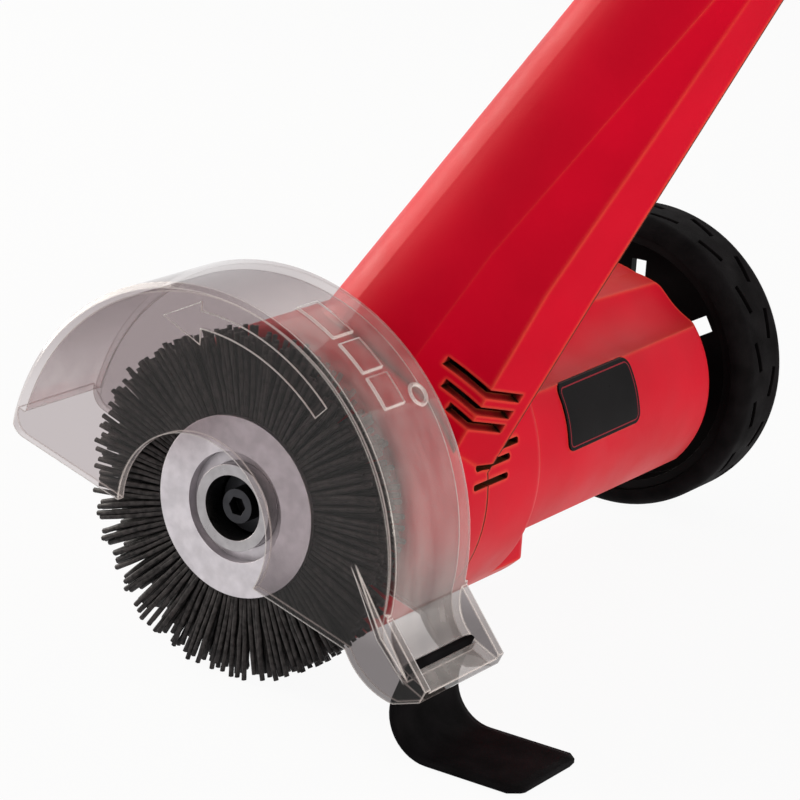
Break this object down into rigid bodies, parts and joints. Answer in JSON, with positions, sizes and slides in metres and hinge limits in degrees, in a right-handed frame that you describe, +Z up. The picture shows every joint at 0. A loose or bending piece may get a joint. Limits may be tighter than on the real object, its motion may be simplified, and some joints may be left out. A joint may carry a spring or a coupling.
{
  "type": "electric weed brush",
  "caption": "Long-handled electric grout and weed brush: motor head with a radial brush under a clear guard, a support wheel, a telescopic tube and a trigger handle.",
  "frame": {"origin": "middle of the tool's footprint box, on the ground, with the brush and the wheel standing on it", "axes": "+X forward, away from the user; +Y to the brush side, along the brush and wheel axle; +Z up"},
  "size_m": [0.6892, 0.257, 0.8535],
  "materials": {
    "red_shell": "satin red moulded plastic",
    "handle_red": "satin red moulded plastic",
    "label_black": "bare glossy black plate",
    "guard_clear": "clear smoked plastic",
    "flap_rubber": "matt black rubber",
    "bristle_nylon": "stiff black-grey strands",
    "plate_zinc": "zinc-plated pressed sheet",
    "hub_steel": "turned steel",
    "screw_steel": "black-oxide steel",
    "shaft_steel": "machined steel",
    "bearing_steel": "ground steel",
    "bronze": "bronze",
    "copper_wire": "varnished copper wire",
    "laminations": "stacked sheet steel",
    "carbon": "carbon",
    "inner_plastic": "glass-filled plastic",
    "wheel_plastic": "black moulded plastic",
    "tyre_rubber": "hard black rubber",
    "tube_aluminium": "drawn aluminium tube",
    "black_plastic": "black moulded plastic",
    "grip_rubber": "soft black grip",
    "button_grey": "dark grey button"
  },
  "bodies": {
    "housing": {"left_housing_shell": "red_shell", "right_housing_shell": "red_shell", "housing_screws": "screw_steel", "rating_label": "label_black", "gear_plate": "inner_plastic", "spindle_bearings": "bearing_steel", "layshaft_bushes": "bronze", "motor_bracket": "inner_plastic", "motor_bearings": "bearing_steel", "stator_core": "laminations", "field_coils": "copper_wire", "carbon_ring": "inner_plastic", "brush_holders": "bronze", "carbon_brushes": "carbon", "brush_guard": "guard_clear", "guard_screws": "screw_steel", "splash_flap": "flap_rubber", "wheel_axle": "hub_steel", "axle_washer": "hub_steel", "axle_screw": "screw_steel", "lower_tube": "tube_aluminium", "tube_clamp": "black_plastic", "clamp_pin": "hub_steel"},
    "brush": {"brush_bristles": "bristle_nylon", "brush_front_plate": "plate_zinc", "brush_rear_plate": "plate_zinc", "brush_hub": "hub_steel", "brush_washer": "hub_steel", "brush_screw": "screw_steel", "output_spindle": "shaft_steel", "output_gear": "shaft_steel"},
    "layshaft": {"layshaft": "shaft_steel", "layshaft_gear": "shaft_steel"},
    "rotor": {"armature_shaft": "shaft_steel", "armature_core": "laminations", "armature_winding": "copper_wire", "commutator": "bronze", "motor_pinion": "shaft_steel", "cooling_fan": "inner_plastic"},
    "wheel": {"wheel_rim": "wheel_plastic", "wheel_tyre": "tyre_rubber", "wheel_bush": "inner_plastic", "wheel_cap": "wheel_plastic"},
    "upper": {"upper_tube": "tube_aluminium", "left_handle_shell": "handle_red", "right_handle_shell": "handle_red", "handle_screws": "screw_steel", "switch_body": "inner_plastic", "cord_bush": "black_plastic", "aux_bracket": "black_plastic", "aux_bolt": "hub_steel"},
    "trigger": {"trigger": "black_plastic"},
    "lock_button": {"lock_button": "button_grey"},
    "aux_handle": {"aux_handle": "black_plastic", "aux_grip": "grip_rubber"},
    "aux_knob": {"aux_knob": "black_plastic"},
    "clamp_lever": {"clamp_lever": "black_plastic"}
  },
  "joints": [
    {"name": "brush_spin", "type": "hinge", "parent": "housing", "child": "brush", "pos_m": [0.27994, 0.10055, 0.05], "axis": [0, 1, 0], "continuous": true},
    {"name": "layshaft_spin", "type": "hinge", "parent": "housing", "child": "layshaft", "pos_m": [0.26632, 0.06305, 0.07097], "axis": [0, 1, 0], "continuous": true},
    {"name": "motor_spin", "type": "hinge", "parent": "housing", "child": "rotor", "pos_m": [0.27994, 0.01305, 0.05], "axis": [0, 1, 0], "continuous": true},
    {"name": "wheel_spin", "type": "hinge", "parent": "housing", "child": "wheel", "pos_m": [0.27994, -0.1152, 0.05], "axis": [0, 1, 0], "continuous": true},
    {"name": "telescope", "type": "slide", "parent": "housing", "child": "upper", "axis": [-0.5446, 0, 0.8387], "range_m": [-0.1, 0.08]},
    {"name": "trigger_pull", "type": "hinge", "parent": "upper", "child": "trigger", "pos_m": [-0.23536, 0.04855, 0.77466], "axis": [0, -1, 0], "range_deg": [0, 8], "stiffness_Nm_per_rad": 2, "springref_deg": -8.59},
    {"name": "lock_press", "type": "slide", "parent": "upper", "child": "lock_button", "axis": [0, -1, 0], "range_m": [0, 0.003], "stiffness_N_per_m": 400, "springref_m": -0.004},
    {"name": "aux_tilt", "type": "hinge", "parent": "upper", "child": "aux_handle", "pos_m": [-0.0862, 0.04855, 0.67073], "axis": [0, 1, 0], "range_deg": [-40, 40]},
    {"name": "aux_knob_turn", "type": "hinge", "parent": "upper", "child": "aux_knob", "pos_m": [-0.0862, 0.08855, 0.67073], "axis": [0, 1, 0], "continuous": true},
    {"name": "clamp_swing", "type": "hinge", "parent": "housing", "child": "clamp_lever", "pos_m": [-0.02125, 0.07305, 0.51379], "axis": [-0.5446, 0, 0.8387], "range_deg": [0, 100]}
  ],
  "couplings": [
    {"joint": "layshaft_spin", "follows": "brush_spin", "ratio": -2.5714},
    {"joint": "motor_spin", "follows": "brush_spin", "ratio": 8.1429}
  ]
}
